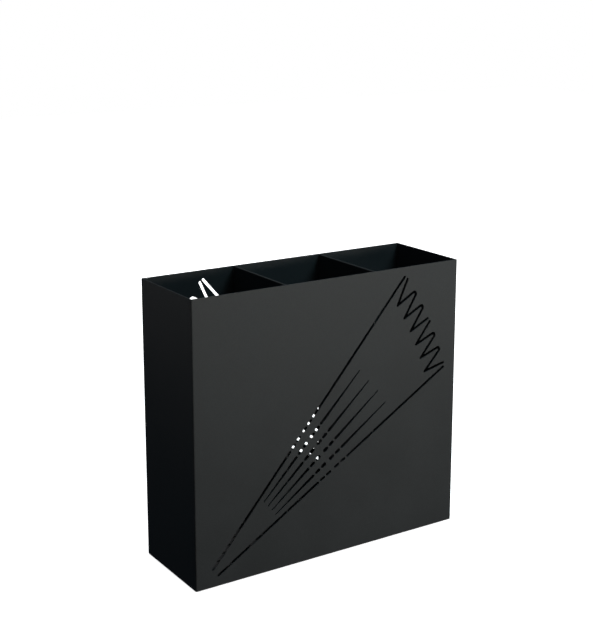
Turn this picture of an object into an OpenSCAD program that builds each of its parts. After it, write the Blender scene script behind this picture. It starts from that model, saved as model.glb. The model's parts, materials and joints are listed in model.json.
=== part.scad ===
// Umbrella stand: two folded sheet shells with a pierced line drawing, three compartments.
// Millimetres, +Z up. Origin on the floor, under the middle of the stand. The front faces -Y.

/* [Stand] */
// Outer width
stand_w = 540; // [480:1:640]
// Outer depth, front to back
stand_d = 175; // [165:1:230]
// Height from the floor to the rim
stand_h = 500; // [440:1:620]
// Thickness of the steel sheet
sheet_t = 1.5; // [1.2:0.1:2]
// Gap between the floor and the lower edge of the shells
floor_gap = 2; // [1:0.5:2.5]

/* [Drawing cut through the wide panels] */
// How many lines the fan of the drawn umbrella has, its two edges included
line_count = 6; // [5:1:7]
// Direction of its lower edge, degrees above level
low_angle = 31; // [29:0.5:33]
// Direction of its upper edge
high_angle = 49; // [46:0.5:50]
// Width of the two edge lines and of the hem
edge_line_w = 5; // [2:0.1:5]
// Width of a fold line where it meets the strap
fold_line_w = 7; // [4:0.1:7]
// Distance of the strap from the drawn tip
strap_r = 320; // [300:1:340]
// Uncut width left for the strap
strap_w = 8; // [6:0.5:12]
// Short dashes on each side of the strap
dash_count = 2; // [0:1:3]
// Teeth of the hem
hem_teeth = 6; // [4:2:8]

/* [Drip trays] */
// Height of a tray up to its rim
tray_h = 18; // [14:1:24]
// Radius of its corners, which leaves room for the nuts beside them
tray_corner_r = 32; // [31:1:40]
// Gap between a tray's rim and the compartment round it
tray_gap = 2; // [1.5:0.5:4]

/* [Feet] */
// Diameter of a rubber foot at its top
foot_d = 24; // [18:1:30]

/* [Hidden] */
$fn = 48;

bend_in = 0.8;                    // inner radius of every fold
bend_out = bend_in + sheet_t;
fold_joint = 0.5;                 // overlap of a fold with each flat sheet
half_w = stand_w / 2;
half_d = stand_d / 2;
inner_x = half_w - sheet_t;       // inner face of the sides
inner_y = half_d - sheet_t;       // inner face of the wide panels
seam = 0.1;                       // gap left between two sheets that lie together
relief = 1.5;                     // notch cut at each end of a fold

// fasteners
stud_r = 2;
stud_hole_r = 2.25;
nut_flange_r = 4.5;
nut_flange_t = 1;
nut_hex_af = 7;
nut_h = 4;
stud_len = seam + sheet_t + nut_h + 0.9;
thread_gap = 0.05;                // play between a stud and its nut, on the radius

// lap flange at the free end of each side, behind the other shell's wide panel
lap_w = 16;
lap_low = 16;
lap_high = stand_h - 12;
lap_stud_in = 8;                  // from the inner face of the side to the studs
corner_stud_z = [60, stand_h / 2, stand_h - 60];

// pan
pan_top = 14.5;
pan_under = pan_top - sheet_t;
skirt_low = 3;
pan_x = inner_x - seam;
pan_y = inner_y - seam;
pan_notch = 4;                    // the skirts stop this far from the corners
base_stud_z = 7.6;
base_stud_x = [-stand_w / 3, 0, stand_w / 3];

// dividers
divider_x = [-stand_w / 6, stand_w / 6];   // where the plate meets its hem
divider_top = stand_h - 0.5;
hem_h = 12;
ear_w = 15;
ear_z = [[25, 85], [stand_h - 68, stand_h - 28]];
ear_stud_in = 9;                  // from divider_x to the studs of its ears
divider_gap = 0.3;
tab_w = 20;
tab_y = [-50, 50];
tab_deep = 3;

// trays
tray_w = stand_w / 3 - 2 * sheet_t - 2 * tray_gap;
tray_d = 2 * inner_y - 2 * tray_gap;
tray_lip = 3;
tray_wall = 2;
tray_rib_count = 6;
tray_rib_w = 2.5;
tray_rib_h = 3;
tray_rib_in = 24;                 // from the wall to the ends of the ribs
grip_w = 34;
grip_rise = 26;                   // above the rim
grip_t = 2.5;
grip_round = 8;
ridge_count = 3;                  // ridges for the fingers, on the inner face of a grip
ridge_r = 1.2;
ridge_w = 20;
ridge_step = 5;

// feet
foot_x = half_w - 32;
foot_y = half_d - 27.5;
foot_taper = 1.5;                 // how much smaller the radius is at the floor
foot_chamfer = 1;
insert_r = 4;
insert_len = 7;
press_gap = 0.02;
flush_head_r = 3;

// drawing: polar about the point where the fan's lines would meet, just off the panel's corner;
// its distances are those on a panel of 540 by 500, and it is stretched to fit any other
draw_fit = [stand_w / 540, stand_h / 500];
tip = [-2, -6];
edge_start = 50;
edge_end = [604, 650];            // lower and upper edge
fold_start = 190;
fold_end = 470;
point_w = 2.2;                    // width of a fold line at its pointed ends
dash = 12;
bridge = 2.8;                     // metal left between two cuts
hem_deep = 44;                    // from the crests of the hem to its troughs
hem_round = 4;                    // radius of a crest, on the line's middle
cap_steps = 6;

function polar(r, a) =
    let (p = tip + r * [cos(a), sin(a)]) [p[0] * draw_fit[0], p[1] * draw_fit[1]];
function unit(v) = v / norm(v);
function left_of(v) = [-v[1], v[0]];
function heading(v) = atan2(v[1], v[0]);
function arc_at(c, r, a0, sweep) =
    [for (j = [0 : cap_steps]) c + r * [cos(a0 + sweep * j / cap_steps), sin(a0 + sweep * j / cap_steps)]];

// one side of a pen line, from its first point to its last: side is 1 for left and -1 for right
function join_at(before, at, after, r, side) =
    let (d0 = unit(at - before), d1 = unit(after - at), turn = d0[0] * d1[1] - d0[1] * d1[0],
        n0 = side * left_of(d0), m = unit(n0 + side * left_of(d1)))
    turn * side > 0 ? [at + m * r / (m * n0)] : arc_at(at, r, heading(n0), atan2(turn, d0 * d1));
function line_side(p, r, side) =
    [for (i = [1 : 1 : len(p) - 2]) each join_at(p[i - 1], p[i], p[i + 1], r, side)];
function reversed(p) = [for (i = [len(p) - 1 : -1 : 0]) p[i]];

// outline of a pen line through the points p, r0 and r1 being half its width at its ends
function pen_outline(p, r0, r1) =
    let (n = len(p) - 1, a0 = heading(p[1] - p[0]), a1 = heading(p[n] - p[n - 1]))
    concat(arc_at(p[0], r0, a0 + 90, 180), line_side(p, r0, -1),
        arc_at(p[n], r1, a1 - 90, 180), reversed(line_side(p, r0, 1)));

module pen(p, r0, r1) {
    polygon(pen_outline(p, r0, r1));
}

// a straight line of the fan, from radius ra to rb, its half width given at both
module ray(a, ra, rb, ha, hb) {
    pen([polar(ra + ha, a), polar(rb - hb, a)], ha, hb);
}

// line i of the fan: its direction, and where it starts and ends
function line_angle(i) = low_angle + i * (high_angle - low_angle) / (line_count - 1);
function is_edge(i) = i == 0 || i == line_count - 1;
function start_r(i) = is_edge(i) ? edge_start : fold_start;
function end_r(i) = i == 0 ? edge_end[0] : is_edge(i) ? edge_end[1] : fold_end;
// half its width at radius r: edge lines are even, fold lines swell towards the strap
function half_at(i, r) =
    let (far = r < strap_r ? start_r(i) : end_r(i), k = (r - far) / (strap_r - far))
    (is_edge(i) ? edge_line_w : point_w + k * (fold_line_w - point_w)) / 2;

// each line is cut by the strap and by short bridges beside it
module drawn_line(i) {
    for (side = [-1, 1], k = [0 : dash_count]) {
        near = strap_r + side * (strap_w / 2 + k * (dash + bridge));
        far = k < dash_count ? near + side * dash : side < 0 ? start_r(i) : end_r(i);
        low = min(near, far);
        high = max(near, far);
        ray(line_angle(i), low, high, half_at(i, low), half_at(i, high));
    }
}

// the hem: an even zigzag between the ends of the two edges, in two equal halves; k counts
// teeth from the upper edge, and half numbers are troughs
hem_side = 180 * (edge_line_w + bridge) / (PI * edge_end[1]);
function hem_share(k) = hem_side / (high_angle - low_angle)
    + k / hem_teeth * (1 - 2 * hem_side / (high_angle - low_angle));
function hem_angle(k) = high_angle - hem_share(k) * (high_angle - low_angle);
function crest_r(k) = edge_end[1] + hem_share(k) * (edge_end[0] - edge_end[1]);
function trough(k) = polar(crest_r(k) - hem_deep, hem_angle(k));
function crest(k) =
    let (c = polar(crest_r(k) - hem_round, hem_angle(k)))
    [for (a = [80 : -40 : -80]) c + hem_round * [cos(hem_angle(k) + a), sin(hem_angle(k) + a)]];

module drawn_hem() {
    mid = hem_teeth / 2;
    gap = (edge_line_w + bridge) / 2;
    half = edge_line_w / 2;
    turn = hem_angle(mid) + 90;
    split = gap * [cos(turn), sin(turn)];
    pen(concat([polar(crest_r(0), hem_angle(0)), trough(0.5)],
        [for (k = [1 : 1 : mid - 1]) each concat(crest(k), [trough(k + 0.5)])],
        [polar(crest_r(mid), hem_angle(mid)) + split]), half, half);
    pen(concat([polar(crest_r(mid), hem_angle(mid)) - split, trough(mid + 0.5)],
        [for (k = [mid + 1 : 1 : hem_teeth - 1]) each concat(crest(k), [trough(k + 0.5)])],
        [polar(crest_r(hem_teeth), hem_angle(hem_teeth))]), half, half);
}

module umbrella_drawing() {
    for (i = [0 : line_count - 1]) drawn_line(i);
    drawn_hem();
}

// section of a folded sheet, bulging towards [-x, -y], centred on the fold; both ends run a
// little way into the flat sheets they join
module fold_section() {
    intersection() {
        difference() {
            circle(bend_out);
            circle(bend_in);
        }
        translate([-bend_out - 1, -bend_out - 1]) square(bend_out + 1);
    }
    translate([-bend_out, 0]) square([sheet_t, fold_joint]);
    translate([0, -bend_out]) square([fold_joint, sheet_t]);
}

module box(low, high) {
    translate(low) cube(high - low);
}

// a shell standing with its wide panel towards -Y and its side at -X
module folded_shell() {
    lap_y = inner_y - seam;
    top = stand_h;
    difference() {
        union() {
            box([-half_w + bend_out, -half_d, floor_gap], [half_w, -inner_y, top]);
            translate([-half_w + bend_out, -half_d + bend_out, floor_gap])
                linear_extrude(top - floor_gap) fold_section();
            box([-half_w, -half_d + bend_out, floor_gap], [-inner_x, lap_y - bend_out, top]);
            box([-half_w, lap_y - bend_out, floor_gap], [-inner_x, lap_y, lap_low - relief]);
            box([-half_w, lap_y - bend_out, lap_high + relief], [-inner_x, lap_y, top]);
            translate([-half_w + bend_out, lap_y - bend_out, lap_low]) mirror([0, 1, 0])
                linear_extrude(lap_high - lap_low) fold_section();
            box([-half_w + bend_out, lap_y - sheet_t, lap_low], [-inner_x + lap_w, lap_y, lap_high]);
        }
        translate([-half_w, -half_d - 1, 0]) rotate([90, 0, 0]) mirror([0, 0, 1])
            linear_extrude(sheet_t + 2) umbrella_drawing();
        for (z = corner_stud_z)
            translate([-inner_x + lap_stud_in, lap_y - sheet_t - 1, z]) rotate([-90, 0, 0])
                cylinder(r = stud_hole_r, h = sheet_t + 2);
    }
}

module front_shell() {
    color([0.13, 0.13, 0.14]) folded_shell();
}

module back_shell() {
    color([0.13, 0.13, 0.14]) rotate([0, 0, 180]) folded_shell();
}

// one skirt of the pan, along X and centred on it, its outer face at y = 0
module pan_skirt(length) {
    rotate([90, 0, 90]) translate([0, 0, -length / 2]) linear_extrude(length) {
        translate([0, skirt_low]) square([sheet_t, pan_top - bend_out - skirt_low]);
        translate([bend_out, pan_top - bend_out]) mirror([0, 1]) fold_section();
    }
}

module base_pan() {
    color([0.16, 0.16, 0.17]) difference() {
        union() {
            box([-pan_x + bend_out, -pan_y + bend_out, pan_under],
                [pan_x - bend_out, pan_y - bend_out, pan_top]);
            for (turn = [0, 180]) rotate([0, 0, turn]) {
                translate([0, -pan_y, 0]) pan_skirt(2 * (pan_x - pan_notch));
                translate([pan_x, 0, 0]) rotate([0, 0, 90]) pan_skirt(2 * (pan_y - pan_notch));
            }
        }
        for (x = [-foot_x, foot_x], y = [-foot_y, foot_y])
            translate([x, y, pan_under - 1]) cylinder(r = flush_head_r + press_gap, h = sheet_t + 2);
        for (x = divider_x, y = tab_y)
            box([x - sheet_t - divider_gap, y - tab_w / 2 - divider_gap, pan_under - 1],
                [x + divider_gap, y + tab_w / 2 + divider_gap, pan_top + 1]);
        at_base_studs() translate([0, 0, -1]) cylinder(r = stud_hole_r, h = sheet_t + 3);
    }
}

// a plate at x = 0 and below, its hem folded over to the +x side, its ears pointing the same way
module divider(x) {
    ear_y = inner_y - seam;
    edge_y = inner_y - divider_gap;
    web_y = ear_y - bend_out;
    low = pan_top;
    fold_z = divider_top - sheet_t;
    translate([x, 0, 0]) difference() {
        union() {
            box([-sheet_t, -edge_y, low], [0, edge_y, fold_z]);
            box([0, -edge_y, divider_top - hem_h], [sheet_t, edge_y, fold_z]);
            translate([0, edge_y, fold_z]) rotate([90, 0, 0]) cylinder(r = sheet_t, h = 2 * edge_y);
            for (y = tab_y) box([-sheet_t, y - tab_w / 2, low - tab_deep], [0, y + tab_w / 2, low + 1]);
            for (z = ear_z, side = [0, 1]) mirror([0, side, 0]) {
                translate([bend_in, web_y, z[0]]) mirror([0, 1, 0])
                    linear_extrude(z[1] - z[0]) fold_section();
                box([bend_in, ear_y - sheet_t, z[0]], [ear_w, ear_y, z[1]]);
            }
        }
        for (z = ear_z, side = [0, 1]) mirror([0, side, 0]) {
            box([-sheet_t - 1, web_y, z[0] - relief], [1, inner_y, z[0]]);
            box([-sheet_t - 1, web_y, z[1]], [1, inner_y, z[1] + relief]);
            difference() {
                box([-sheet_t - 1, web_y, z[0]], [bend_in, inner_y, z[1]]);
                translate([bend_in, web_y, z[0] - 1]) cylinder(r = bend_out, h = z[1] - z[0] + 2);
            }
            translate([bend_in, web_y, z[0]]) cylinder(r = bend_in, h = z[1] - z[0]);
            translate([ear_stud_in, ear_y - sheet_t - 1, (z[0] + z[1]) / 2])
                rotate([-90, 0, 0]) cylinder(r = stud_hole_r, h = sheet_t + 2);
        }
    }
}

module divider_left() {
    color([0.14, 0.14, 0.15]) divider(divider_x[0]);
}

module divider_right() {
    color([0.14, 0.14, 0.15]) divider(divider_x[1]);
}

// a rectangle with true round corners, centred
module round_rect(w, d, r) {
    square([w - 2 * r, d], center = true);
    square([w, d - 2 * r], center = true);
    for (x = [-1, 1], y = [-1, 1]) translate([x * (w / 2 - r), y * (d / 2 - r)]) circle(r);
}

// a finger grip, its outer face at y = 0
module tray_grip() {
    top = tray_h + grip_rise;
    rotate([90, 0, 0]) linear_extrude(grip_t) translate([0, (tray_wall / 2 + top) / 2])
        round_rect(grip_w, top - tray_wall / 2, grip_round);
    for (k = [0 : ridge_count - 1])
        translate([-ridge_w / 2, -grip_t, top - grip_round - k * ridge_step])
            rotate([0, 90, 0]) cylinder(r = ridge_r, h = ridge_w);
}

module drip_tray(x) {
    body_w = tray_w - 2 * tray_lip;
    body_d = tray_d - 2 * tray_lip;
    body_r = tray_corner_r - tray_lip;
    translate([x, 0, pan_top]) {
        difference() {
            union() {
                linear_extrude(tray_h) round_rect(body_w, body_d, body_r);
                translate([0, 0, tray_h - tray_wall]) linear_extrude(tray_wall)
                    round_rect(tray_w, tray_d, tray_corner_r);
            }
            translate([0, 0, tray_wall]) linear_extrude(tray_h)
                round_rect(body_w - 2 * tray_wall, body_d - 2 * tray_wall, body_r - tray_wall);
        }
        for (k = [0 : tray_rib_count - 1])
            translate([0, (k - (tray_rib_count - 1) / 2) * body_d / (tray_rib_count + 1), 0])
                box([-body_w / 2 + tray_rib_in, -tray_rib_w / 2, tray_wall - 1],
                    [body_w / 2 - tray_rib_in, tray_rib_w / 2, tray_wall + tray_rib_h]);
        for (turn = [0, 180]) rotate([0, 0, turn]) translate([0, body_d / 2, 0]) tray_grip();
    }
}

module drip_tray_left() {
    color([0.09, 0.09, 0.10]) drip_tray((divider_x[0] - sheet_t - inner_x) / 2);
}

module drip_tray_middle() {
    color([0.09, 0.09, 0.10]) drip_tray((divider_x[0] + divider_x[1]) / 2);
}

module drip_tray_right() {
    color([0.09, 0.09, 0.10]) drip_tray((divider_x[1] + sheet_t + inner_x) / 2);
}

module foot(x, y) {
    r = foot_d / 2;
    color([0.06, 0.06, 0.06]) translate([x, y, 0]) difference() {
        rotate_extrude() polygon([[0, 0], [r - foot_taper - foot_chamfer, 0],
            [r - foot_taper, foot_chamfer], [r, pan_under], [0, pan_under]]);
        translate([0, 0, pan_under - insert_len]) cylinder(r = insert_r + press_gap, h = insert_len + 1);
    }
}

module foot_front_left() {
    foot(-foot_x, -foot_y);
}

module foot_front_right() {
    foot(foot_x, -foot_y);
}

module foot_back_left() {
    foot(-foot_x, foot_y);
}

module foot_back_right() {
    foot(foot_x, foot_y);
}

module foot_studs() {
    color([0.62, 0.62, 0.64]) for (x = [-foot_x, foot_x], y = [-foot_y, foot_y]) translate([x, y, 0]) {
        translate([0, 0, pan_under]) cylinder(r = flush_head_r, h = sheet_t);
        translate([0, 0, pan_under - insert_len + 0.5]) cylinder(r = stud_r, h = insert_len);
    }
}

module foot_inserts() {
    color([0.72, 0.6, 0.3]) for (x = [-foot_x, foot_x], y = [-foot_y, foot_y])
        translate([x, y, pan_under - insert_len]) difference() {
            cylinder(r = insert_r, h = insert_len);
            translate([0, 0, -1]) cylinder(r = stud_r + thread_gap, h = insert_len + 2);
        }
}

// a weld stud standing on a face at z = 0, and the flange nut that holds a sheet on it
module weld_stud() {
    cylinder(r = stud_r, h = stud_len);
}

module flange_nut() {
    translate([0, 0, seam + sheet_t]) difference() {
        union() {
            cylinder(r = nut_flange_r, h = nut_flange_t);
            cylinder(r = nut_hex_af / 2 / cos(30), h = nut_h, $fn = 6);
        }
        translate([0, 0, -1]) cylinder(r = stud_r + thread_gap, h = nut_h + 2);
    }
}

// the two open corners: the studs stand on the wide panels, near their free edges
module at_corner_studs() {
    for (turn = [0, 180], z = corner_stud_z) rotate([0, 0, turn])
        translate([-inner_x + lap_stud_in, inner_y, z]) rotate([90, 0, 0]) children();
}

module at_divider_studs() {
    for (x = divider_x, z = ear_z, side = [0, 1]) mirror([0, side, 0])
        translate([x + ear_stud_in, inner_y, (z[0] + z[1]) / 2]) rotate([90, 0, 0]) children();
}

module at_base_studs() {
    for (turn = [0, 180]) rotate([0, 0, turn]) {
        for (x = base_stud_x) translate([x, inner_y, base_stud_z]) rotate([90, 0, 0]) children();
        translate([inner_x, 0, base_stud_z]) rotate([0, -90, 0]) children();
    }
}

module corner_studs() {
    color([0.7, 0.7, 0.72]) at_corner_studs() weld_stud();
}

module corner_nuts() {
    color([0.62, 0.62, 0.64]) at_corner_studs() flange_nut();
}

module divider_studs() {
    color([0.7, 0.7, 0.72]) at_divider_studs() weld_stud();
}

module divider_nuts() {
    color([0.62, 0.62, 0.64]) at_divider_studs() flange_nut();
}

module base_studs() {
    color([0.7, 0.7, 0.72]) at_base_studs() weld_stud();
}

module base_nuts() {
    color([0.62, 0.62, 0.64]) at_base_studs() flange_nut();
}

front_shell();
back_shell();
base_pan();
divider_left();
divider_right();
drip_tray_left();
drip_tray_middle();
drip_tray_right();
foot_front_left();
foot_front_right();
foot_back_left();
foot_back_right();
foot_studs();
foot_inserts();
corner_studs();
corner_nuts();
divider_studs();
divider_nuts();
base_studs();
base_nuts();
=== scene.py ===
"""Looks of the umbrella stand: matt powder-coated sheet steel, moulded trays, rubber feet."""
import json
import math

import bpy
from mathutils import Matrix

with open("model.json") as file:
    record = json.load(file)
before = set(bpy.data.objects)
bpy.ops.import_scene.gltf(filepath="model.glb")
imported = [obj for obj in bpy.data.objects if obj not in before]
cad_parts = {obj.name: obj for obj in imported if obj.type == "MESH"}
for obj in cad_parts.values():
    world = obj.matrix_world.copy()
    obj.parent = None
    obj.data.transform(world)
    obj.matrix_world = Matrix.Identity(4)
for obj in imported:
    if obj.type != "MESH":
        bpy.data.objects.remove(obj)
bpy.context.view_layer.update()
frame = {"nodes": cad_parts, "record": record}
NODES = frame["nodes"]

MM = 0.001
WHITE = (1.0, 1.0, 1.0)

# the camera: where it stands, how it is turned, and its lens
CAMERA_PLACE = (-1.190, -1.810, 0.994)
CAMERA_HEADING = -32.97       # degrees from looking along +Y, positive to the left
CAMERA_DOWN = 12.29           # degrees below level
CAMERA_LENS = 71.98           # mm on a 36 mm sensor's long side
CAMERA_SHIFT = -0.10

# the part of a noise's 0 to 1 that its values mostly keep to
NOISE_LOW, NOISE_HIGH = 0.3, 0.7


# ---------------------------------------------------------------- materials

def new_material(name):
    """An empty node material: its tree, its Principled shader and an object-space coordinate."""
    mat = bpy.data.materials.new(name)
    mat.use_nodes = True
    tree = mat.node_tree
    tree.nodes.clear()
    out = tree.nodes.new("ShaderNodeOutputMaterial")
    shader = tree.nodes.new("ShaderNodeBsdfPrincipled")
    tree.links.new(shader.outputs["BSDF"], out.inputs["Surface"])
    coord = tree.nodes.new("ShaderNodeTexCoord")
    return mat, tree, shader, coord.outputs["Object"]


def noise(tree, coord, scale, detail=2.0):
    """A noise of so many cells per metre; gives its factor socket."""
    node = tree.nodes.new("ShaderNodeTexNoise")
    node.inputs["Scale"].default_value = scale
    node.inputs["Detail"].default_value = detail
    tree.links.new(coord, node.inputs["Vector"])
    return node.outputs["Fac"]


def shade(colour, factor):
    return tuple(c * factor for c in colour)


def ramp(tree, factor, low, high, ends=(NOISE_LOW, NOISE_HIGH)):
    """A colour that runs from low to high as the factor goes from one end to the other."""
    node = tree.nodes.new("ShaderNodeValToRGB")
    tree.links.new(factor, node.inputs["Fac"])
    for element, position, colour in zip(node.color_ramp.elements, ends, (low, high)):
        element.position = position
        element.color = (*colour, 1.0)
    return node.outputs["Color"]


def around(tree, factor, low, high):
    """A number that runs from low to high with a noise factor."""
    node = tree.nodes.new("ShaderNodeMapRange")
    node.inputs["From Min"].default_value = NOISE_LOW
    node.inputs["From Max"].default_value = NOISE_HIGH
    node.inputs["To Min"].default_value = low
    node.inputs["To Max"].default_value = high
    tree.links.new(factor, node.inputs["Value"])
    return node.outputs["Result"]


def bump(tree, height, distance, strength, normal=None):
    """A bump from a height socket, on top of another normal if one is given; gives its normal socket."""
    node = tree.nodes.new("ShaderNodeBump")
    node.inputs["Distance"].default_value = distance
    node.inputs["Strength"].default_value = strength
    tree.links.new(height, node.inputs["Height"])
    if normal is not None:
        tree.links.new(normal, node.inputs["Normal"])
    return node.outputs["Normal"]


def powder_coat(name, colour, roughness):
    """Matt powder coat: fine orange peel, a denser speckle, faint cloudiness in colour and gloss."""
    mat, tree, shader, coord = new_material(name)
    cloud = noise(tree, coord, 9.0, 3.0)
    speckle = noise(tree, coord, 1400.0, 1.0)
    peel = noise(tree, coord, 520.0)
    tint = ramp(tree, cloud, shade(colour, 0.9), shade(colour, 1.1))
    grain = ramp(tree, speckle, shade(WHITE, 0.86), shade(WHITE, 1.12), ends=(0.35, 0.65))
    mix = tree.nodes.new("ShaderNodeMix")
    mix.data_type = "RGBA"
    mix.blend_type = "MULTIPLY"
    mix.inputs["Factor"].default_value = 1.0
    tree.links.new(tint, mix.inputs["A"])
    tree.links.new(grain, mix.inputs["B"])
    tree.links.new(mix.outputs["Result"], shader.inputs["Base Color"])
    tree.links.new(around(tree, cloud, roughness - 0.03, roughness + 0.03), shader.inputs["Roughness"])
    normal = bump(tree, peel, 0.05 * MM, 0.35)
    normal = bump(tree, speckle, 0.02 * MM, 0.25, normal)
    tree.links.new(normal, shader.inputs["Normal"])
    shader.inputs["IOR"].default_value = 1.45
    return mat


def moulded_plastic(name, colour, roughness):
    """Moulded tray plastic: a fine spark-eroded grain and slow gloss changes."""
    mat, tree, shader, coord = new_material(name)
    cloud = noise(tree, coord, 22.0, 3.0)
    grain = noise(tree, coord, 1900.0)
    tint = ramp(tree, cloud, shade(colour, 0.85), shade(colour, 1.15))
    tree.links.new(tint, shader.inputs["Base Color"])
    tree.links.new(around(tree, cloud, roughness - 0.03, roughness + 0.03), shader.inputs["Roughness"])
    tree.links.new(bump(tree, grain, 0.04 * MM, 0.4), shader.inputs["Normal"])
    shader.inputs["IOR"].default_value = 1.49
    return mat


def rubber(name, colour):
    """Foot rubber: dull, with dusty patches and a soft grain."""
    mat, tree, shader, coord = new_material(name)
    dust = noise(tree, coord, 140.0, 4.0)
    grain = noise(tree, coord, 1500.0)
    tint = ramp(tree, dust, colour, shade(colour, 1.8), ends=(0.4, 0.75))
    tree.links.new(tint, shader.inputs["Base Color"])
    tree.links.new(around(tree, dust, 0.72, 0.9), shader.inputs["Roughness"])
    tree.links.new(bump(tree, grain, 0.06 * MM, 0.4), shader.inputs["Normal"])
    return mat


def bare_metal(name, colour, roughness):
    """Zinc-plated steel or brass: metallic, mottled, finely scratched."""
    mat, tree, shader, coord = new_material(name)
    mottle = noise(tree, coord, 380.0, 3.0)
    scratch = noise(tree, coord, 2600.0)
    tint = ramp(tree, mottle, shade(colour, 0.78), colour)
    tree.links.new(tint, shader.inputs["Base Color"])
    tree.links.new(around(tree, mottle, roughness - 0.08, roughness + 0.1), shader.inputs["Roughness"])
    tree.links.new(bump(tree, scratch, 0.02 * MM, 0.3), shader.inputs["Normal"])
    shader.inputs["Metallic"].default_value = 1.0
    return mat


# ---------------------------------------------------------------- pieces

# for each material slot of the record: its material, and how far its sharp edges are rounded
FINISHES = {
    "shell": (powder_coat("charcoal_powder_coat", (0.030, 0.031, 0.032), 0.60), 0.3 * MM),
    "divider": (powder_coat("divider_powder_coat", (0.026, 0.028, 0.029), 0.60), 0.3 * MM),
    "pan": (powder_coat("pan_powder_coat", (0.018, 0.019, 0.020), 0.56), 0.25 * MM),
    "tray": (moulded_plastic("tray_plastic", (0.012, 0.012, 0.013), 0.5), 0.5 * MM),
    "foot": (rubber("foot_rubber", (0.013, 0.013, 0.013)), 0.6 * MM),
    "fastener": (bare_metal("zinc_plating", (0.62, 0.63, 0.65), 0.34), 0.15 * MM),
    "insert": (bare_metal("insert_brass", (0.78, 0.6, 0.32), 0.36), 0.15 * MM),
}


def smooth_group():
    """A node group that marks every face smooth."""
    group = bpy.data.node_groups.new("all_smooth", "GeometryNodeTree")
    group.interface.new_socket("Geometry", in_out="INPUT", socket_type="NodeSocketGeometry")
    group.interface.new_socket("Geometry", in_out="OUTPUT", socket_type="NodeSocketGeometry")
    start = group.nodes.new("NodeGroupInput")
    faces = group.nodes.new("GeometryNodeSetShadeSmooth")
    end = group.nodes.new("NodeGroupOutput")
    group.links.new(start.outputs["Geometry"], faces.inputs["Geometry"])
    group.links.new(faces.outputs["Geometry"], end.inputs["Geometry"])
    return group


ALL_SMOOTH = smooth_group()


def soften_edges(obj, width):
    """Joins the split corners of the imported mesh and rounds every sharp edge by width.

    The rounded edges take their shading from the large faces beside them, so flat faces stay flat and
    curved ones turn evenly.
    """
    weld = obj.modifiers.new("join", "WELD")
    weld.merge_threshold = 0.002 * MM
    flat = obj.modifiers.new("flat_faces", "DECIMATE")
    flat.decimate_type = "DISSOLVE"
    flat.angle_limit = math.radians(0.5)
    obj.modifiers.new("smooth_faces", "NODES").node_group = ALL_SMOOTH
    bevel = obj.modifiers.new("edges", "BEVEL")
    bevel.width = width
    bevel.segments = 2
    bevel.limit_method = "ANGLE"
    bevel.angle_limit = math.radians(40)
    bevel.face_strength_mode = "FSTR_ALL"
    even = obj.modifiers.new("even_normals", "WEIGHTED_NORMAL")
    even.use_face_influence = True


def dress_nodes():
    """Gives each CAD node its slot's material and soft edges."""
    for row in frame["record"]["subparts"]:
        obj = NODES[row["node"]]
        material, edge_width = FINISHES[row["material_slot"]]
        obj.data.materials.clear()
        obj.data.materials.append(material)
        soften_edges(obj, edge_width)


# ---------------------------------------------------------------- stage

def add_floor():
    """A plain pale floor that glows a little and sends no light to the object, as a separately lit one."""
    bpy.ops.mesh.primitive_plane_add(size=14.0, location=(0, 0, 0))
    floor = bpy.context.object
    floor.name = "floor"
    mat, tree, shader, coord = new_material("pale_floor")
    cloud = noise(tree, coord, 1.5)
    tree.links.new(ramp(tree, cloud, shade(WHITE, 0.88), shade(WHITE, 0.92)), shader.inputs["Base Color"])
    tree.links.new(around(tree, cloud, 0.86, 0.95), shader.inputs["Roughness"])
    shader.inputs["Specular IOR Level"].default_value = 0.0
    shader.inputs["Emission Color"].default_value = (*WHITE, 1.0)
    shader.inputs["Emission Strength"].default_value = 0.84
    floor.data.materials.append(mat)
    floor.visible_diffuse = False
    floor.visible_glossy = False


def add_world():
    """White behind everything, but only a little bluish light from it."""
    world = bpy.data.worlds.new("studio")
    bpy.context.scene.world = world
    world.use_nodes = True
    tree = world.node_tree
    tree.nodes.clear()
    out = tree.nodes.new("ShaderNodeOutputWorld")
    mix = tree.nodes.new("ShaderNodeMixShader")
    path = tree.nodes.new("ShaderNodeLightPath")
    tree.links.new(path.outputs["Is Camera Ray"], mix.inputs["Fac"])
    for slot, colour, strength in ((1, (0.42, 0.70, 1.0), 0.03), (2, WHITE, 1.0)):
        sky = tree.nodes.new("ShaderNodeBackground")
        sky.inputs["Color"].default_value = (*colour, 1.0)
        sky.inputs["Strength"].default_value = strength
        tree.links.new(sky.outputs["Background"], mix.inputs[slot])
    tree.links.new(mix.outputs["Shader"], out.inputs["Surface"])


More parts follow.
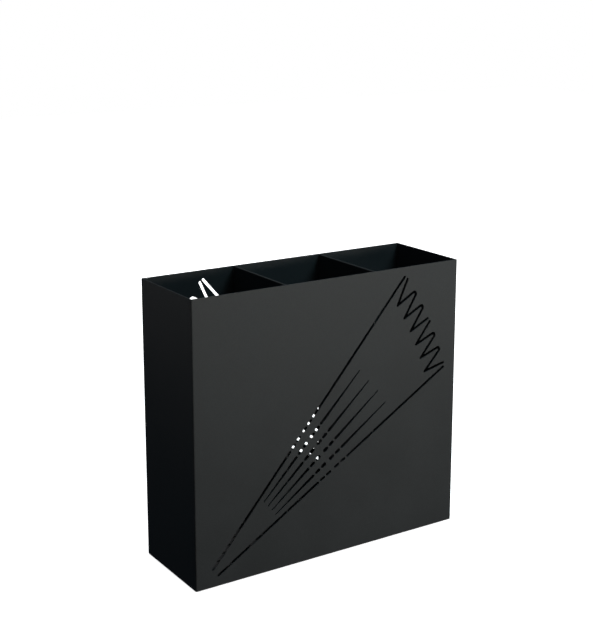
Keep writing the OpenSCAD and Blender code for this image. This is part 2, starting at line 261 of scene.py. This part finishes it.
def add_sun(strength, angle):
    """An even soft light straight down, which keeps the floor one white out to the horizon."""
    data = bpy.data.lights.new("overhead", "SUN")
    data.energy = strength
    data.angle = math.radians(angle)
    bpy.context.scene.collection.objects.link(bpy.data.objects.new("overhead", data))


def add_light(name, place, target, size, power, colour=WHITE):
    """A soft rectangular light at place, turned to target."""
    data = bpy.data.lights.new(name, "AREA")
    data.shape = "RECTANGLE"
    data.size, data.size_y = size
    data.energy = power
    data.color = colour
    light = bpy.data.objects.new(name, data)
    bpy.context.scene.collection.objects.link(light)
    light.location = place
    light.visible_camera = False
    aim = [t - p for t, p in zip(target, place)]
    light.rotation_euler = (math.atan2(math.hypot(aim[0], aim[1]), -aim[2]), 0.0, math.atan2(-aim[0], aim[1]))


def add_lights():
    """The front is lit from before and above. The other lights stay below the rim, off its narrow top."""
    add_sun(1.7, 12.0)
    add_light("front_key", (0.55, -1.4, 0.46), (0.25, 0.0, 0.32), (1.6, 0.35), 11.5, (1.0, 0.97, 0.90))
    add_light("front_top", (0.9, -0.9, 2.2), (0.0, 0.1, 0.45), (1.0, 1.0), 21.0, (0.55, 0.88, 1.0))
    add_light("left_side", (-0.57, -0.03, 0.48), (-0.27, -0.03, 0.40), (0.3, 0.04), 0.08, (1.0, 0.97, 0.92))
    add_light("right_fill", (2.6, 0.3, 0.27), (0.27, 0.0, 0.25), (1.6, 0.44), 36.0)
    add_light("back_fill", (0.3, 2.8, 0.27), (0.0, 0.0, 0.25), (1.8, 0.44), 38.0)


def add_camera():
    data = bpy.data.cameras.new("camera")
    data.lens = CAMERA_LENS
    data.sensor_width = 36.0
    data.shift_y = CAMERA_SHIFT
    data.clip_start = 0.05
    data.clip_end = 50.0
    camera = bpy.data.objects.new("camera", data)
    bpy.context.scene.collection.objects.link(camera)
    camera.location = CAMERA_PLACE
    camera.rotation_euler = (math.radians(90.0 - CAMERA_DOWN), 0.0, math.radians(CAMERA_HEADING))
    bpy.context.scene.camera = camera


add_camera()
dress_nodes()
add_floor()
add_world()
add_lights()
bpy.context.scene.view_settings.view_transform = "Standard"
